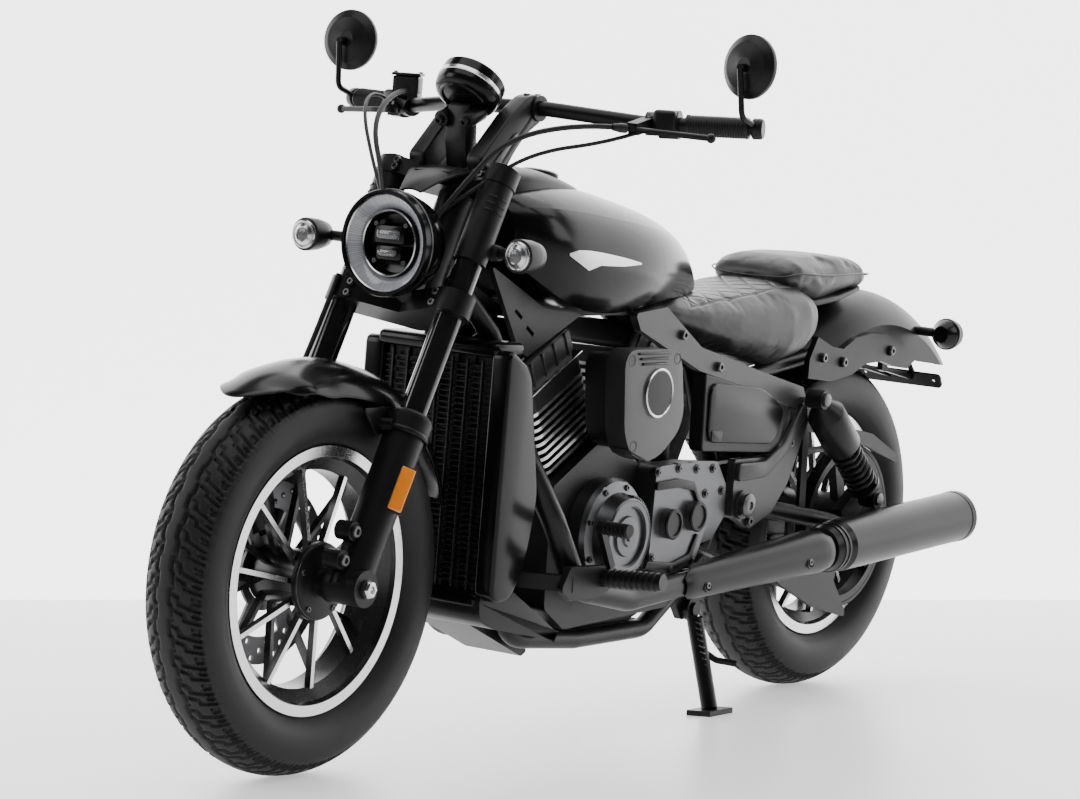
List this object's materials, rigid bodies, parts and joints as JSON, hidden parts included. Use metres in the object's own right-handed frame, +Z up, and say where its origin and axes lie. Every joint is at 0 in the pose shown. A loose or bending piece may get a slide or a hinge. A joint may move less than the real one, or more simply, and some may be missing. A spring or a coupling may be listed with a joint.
{
  "type": "cruiser motorcycle",
  "caption": "Low cruiser motorcycle with a V engine, belt drive and drag bar, leaning on its side stand; wheels spin, steering turns, stand folds.",
  "frame": {"origin": "on the ground at the centre of the whole machine's box", "axes": "+X forward, +Y to the rider's left, +Z up; the machine leans 5.5 degrees towards +Y on its side stand"},
  "size_m": [2.3209, 0.94, 1.2654],
  "materials": {
    "satin_black": "satin black",
    "gloss_black": "gloss black paint",
    "cast_grey": "satin grey, cast",
    "fin_black": "black cast fins with bright edges",
    "air_black": "satin black",
    "exhaust_black": "satin black, heat resistant",
    "seat_leather": "black grained cover",
    "steel": "machined",
    "wheel_black": "black cast with machined lips",
    "tyre": "matt rubber",
    "belt": "toothed rubber",
    "grip": "matt",
    "lever": "black",
    "lens": "clear",
    "red_lens": "red lens",
    "stand_iron": "black forged steel",
    "shock_black": "black"
  },
  "bodies": {
    "frame": {"main_frame": "satin_black", "frame_castings": "cast_grey", "neck_panels": "cast_grey", "side_panels": "satin_black", "crankcase": "satin_black", "cylinders": "fin_black", "cylinder_heads": "fin_black", "engine_covers": "satin_black", "drive_pulley": "wheel_black", "air_cleaner": "air_black", "radiator": "satin_black", "radiator_shroud": "gloss_black", "fuel_tank": "gloss_black", "tank_console": "air_black", "rider_seat": "seat_leather", "pillion_seat": "seat_leather", "rear_fender": "satin_black", "fender_struts": "satin_black", "exhaust_pipes": "exhaust_black", "silencer": "exhaust_black", "heat_shield": "exhaust_black", "swingarm": "satin_black", "rear_axle": "steel", "drive_belt": "belt", "belt_guards": "satin_black", "shocks": "shock_black", "rear_caliper": "shock_black", "foot_controls": "satin_black", "plate_bracket": "satin_black", "rear_lights": "red_lens", "stand_bracket": "satin_black"},
    "fork": {"fork_sliders": "satin_black", "fork_tubes": "gloss_black", "lower_clamp": "satin_black", "upper_clamp": "satin_black", "headlight_shell": "gloss_black", "headlight_lens": "lens", "handlebar": "satin_black", "grips": "grip", "bar_controls": "satin_black", "levers": "lever", "mirrors": "gloss_black", "instrument": "satin_black", "front_signals": "lens", "front_fender": "gloss_black", "front_caliper": "shock_black", "front_axle": "steel", "control_cables": "grip", "brake_hose": "grip"},
    "front_wheel": {"front_rim": "wheel_black", "front_tyre": "tyre", "front_disc": "steel"},
    "rear_wheel": {"rear_rim": "wheel_black", "rear_tyre": "tyre", "rear_disc": "steel", "rear_pulley": "wheel_black"},
    "side_stand": {"side_stand": "stand_iron"}
  },
  "joints": [
    {"name": "steering", "type": "hinge", "parent": "frame", "child": "fork", "pos_m": [0.52001, -0.034, 0.8465], "axis": [-0.454, 0.0854, 0.8869], "range_deg": [-31.5, 34.5]},
    {"name": "front_wheel_spin", "type": "hinge", "parent": "fork", "child": "front_wheel", "pos_m": [0.84055, -0.08597, 0.31905], "axis": [0.0233, 0.9962, -0.084], "continuous": true},
    {"name": "rear_wheel_spin", "type": "hinge", "parent": "frame", "child": "rear_wheel", "pos_m": [-0.74449, -0.08451, 0.32193], "axis": [0, 0.9954, -0.0958], "continuous": true},
    {"name": "side_stand_fold", "type": "hinge", "parent": "frame", "child": "side_stand", "pos_m": [-0.24949, -0.03497, 0.18957], "axis": [0, 0.9954, -0.0958], "range_deg": [0, 98]}
  ]
}
